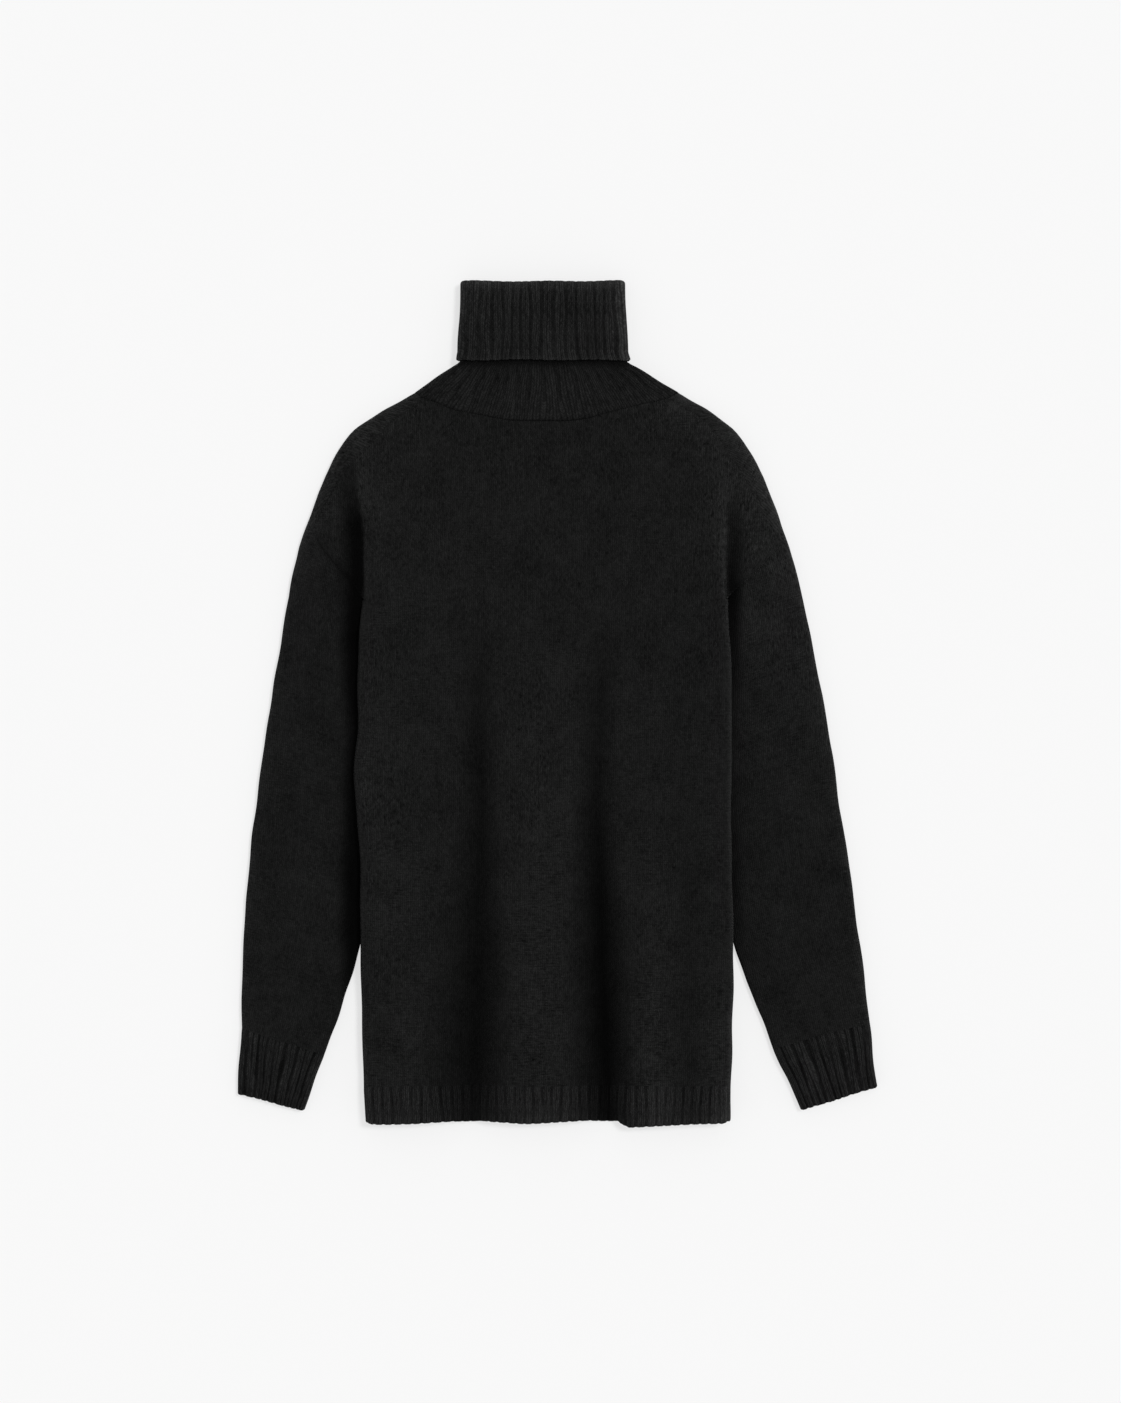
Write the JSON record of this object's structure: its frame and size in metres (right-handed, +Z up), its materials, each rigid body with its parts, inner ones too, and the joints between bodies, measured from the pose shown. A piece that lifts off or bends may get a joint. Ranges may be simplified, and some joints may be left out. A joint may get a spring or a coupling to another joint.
{
  "type": "turtleneck sweater",
  "caption": "Black knitted turtleneck sweater laid flat, with a folded ribbed collar, dropped shoulders, long sleeves and ribbed cuffs and hem.",
  "frame": {"origin": "middle of the sweater's footprint, on the surface it lies on", "axes": "+Z up out of the surface, +Y from the hem to the collar, +X towards the wearer's left sleeve"},
  "size_m": [0.6528, 0.8616, 0.019],
  "materials": {
    "plain_knit": "matt fine stockinette knit",
    "rib_knit": "matt ribbed knit"
  },
  "bodies": {
    "root": {"front": "plain_knit", "back": "plain_knit", "sleeve_left": "plain_knit", "sleeve_right": "plain_knit", "cuff_left": "rib_knit", "cuff_right": "rib_knit", "hem_front": "rib_knit", "hem_back": "rib_knit", "collar": "rib_knit"}
  },
  "joints": []
}
